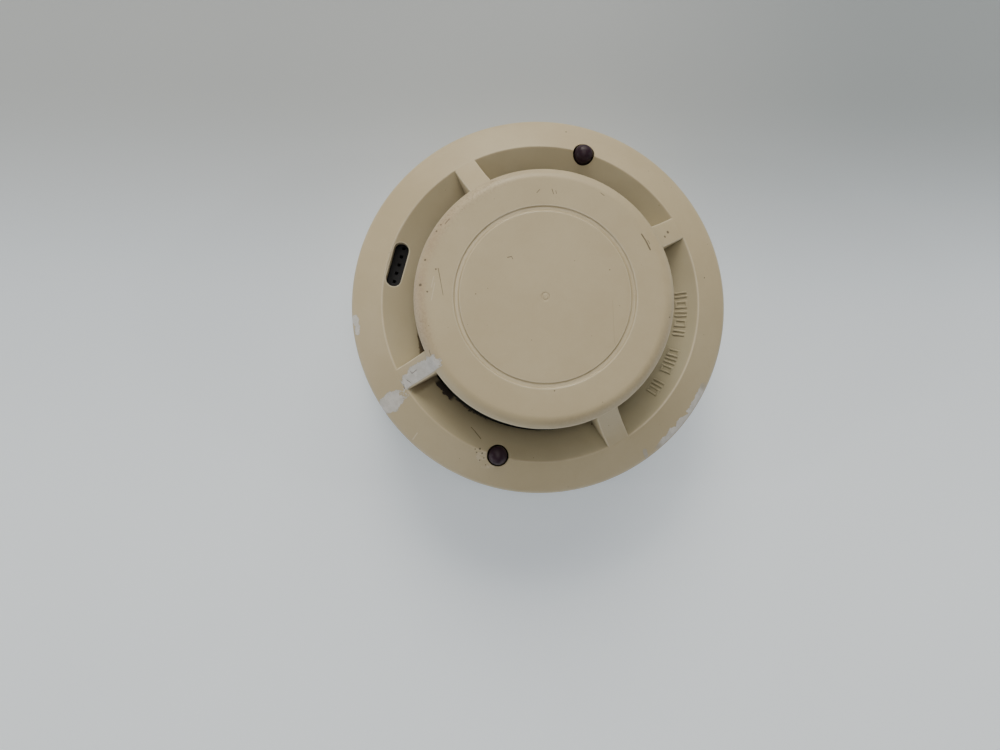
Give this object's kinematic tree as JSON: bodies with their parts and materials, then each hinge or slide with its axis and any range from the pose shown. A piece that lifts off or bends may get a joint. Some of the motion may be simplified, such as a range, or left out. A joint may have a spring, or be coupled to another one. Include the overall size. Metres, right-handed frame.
{
  "type": "heat detector",
  "caption": "Round ceiling heat detector with a push-fit cover and raised dome over an air channel, plugged into a bayonet mounting base.",
  "frame": {"origin": "centre of the base's mounting face", "axes": "+Z out of the ceiling into the room, along the twist axis; the two indicator lamps are on +Y and -Y; the test slot is on -X"},
  "size_m": [0.104, 0.104, 0.043],
  "materials": {
    "cover_plastic": "aged cream moulded plastic, satin, slightly soiled",
    "base_plastic": "cream moulded plastic, satin",
    "chassis_plastic": "ivory moulded plastic, satin",
    "black_plastic": "black moulded plastic",
    "chip_epoxy": "black moulding compound",
    "board": "green solder mask on glass-fibre board",
    "lamp_lens": "dark red tinted lens",
    "plated_steel": "zinc plated",
    "tinned_brass": "tinned spring brass",
    "thermistor_glaze": "glazed bead",
    "white_nylon": "natural nylon",
    "capacitor_sleeve": "dark blue shrink sleeve",
    "varistor_coating": "blue dipped epoxy",
    "reed_glass": "greenish glass capsule"
  },
  "bodies": {
    "base": {"base_body": "base_plastic", "contact_spring_1": "tinned_brass", "contact_spring_2": "tinned_brass", "contact_spring_3": "tinned_brass", "contact_spring_4": "tinned_brass", "terminal_screw_1": "plated_steel", "terminal_screw_2": "plated_steel", "terminal_screw_3": "plated_steel", "terminal_screw_4": "plated_steel", "wire_clamp_1": "plated_steel", "wire_clamp_2": "plated_steel", "wire_clamp_3": "plated_steel", "wire_clamp_4": "plated_steel"},
    "head": {"air_guard": "black_plastic", "blade_screw_1": "plated_steel", "blade_screw_2": "plated_steel", "blade_screw_3": "plated_steel", "blade_screw_4": "plated_steel", "board_link_1": "tinned_brass", "board_link_2": "tinned_brass", "board_link_3": "tinned_brass", "board_link_4": "tinned_brass", "board_screw_1": "plated_steel", "board_screw_2": "plated_steel", "board_screw_3": "plated_steel", "bridge_rectifier": "chip_epoxy", "chassis": "chassis_plastic", "circuit_board": "board", "controller_chip": "chip_epoxy", "filter_capacitor": "capacitor_sleeve", "lamp_driver": "chip_epoxy", "led_1": "lamp_lens", "led_2": "lamp_lens", "reed_switch": "reed_glass", "reference_thermistor": "thermistor_glaze", "sensing_thermistor": "thermistor_glaze", "surge_varistor": "varistor_coating", "terminal_blade_1": "tinned_brass", "terminal_blade_2": "tinned_brass", "terminal_blade_3": "tinned_brass", "terminal_blade_4": "tinned_brass", "test_socket": "black_plastic", "thermistor_stem": "white_nylon"},
    "cover": {"cover": "cover_plastic"},
    "lever": {"release_lever": "base_plastic"}
  },
  "joints": [
    {"name": "head_twist", "type": "hinge", "parent": "base", "child": "head", "pos_m": [0, 0, 0.01], "axis": [0, 0, 1], "range_deg": [0, 18]},
    {"name": "cover_lift", "type": "slide", "parent": "head", "child": "cover", "axis": [0, 0, 1], "range_m": [0, 0.045]},
    {"name": "release_lever_flex", "type": "hinge", "parent": "base", "child": "lever", "pos_m": [-0.01787, -0.04423, 0.01], "axis": [0, 0, 1], "range_deg": [0, 3], "stiffness_Nm_per_rad": 0.05}
  ]
}
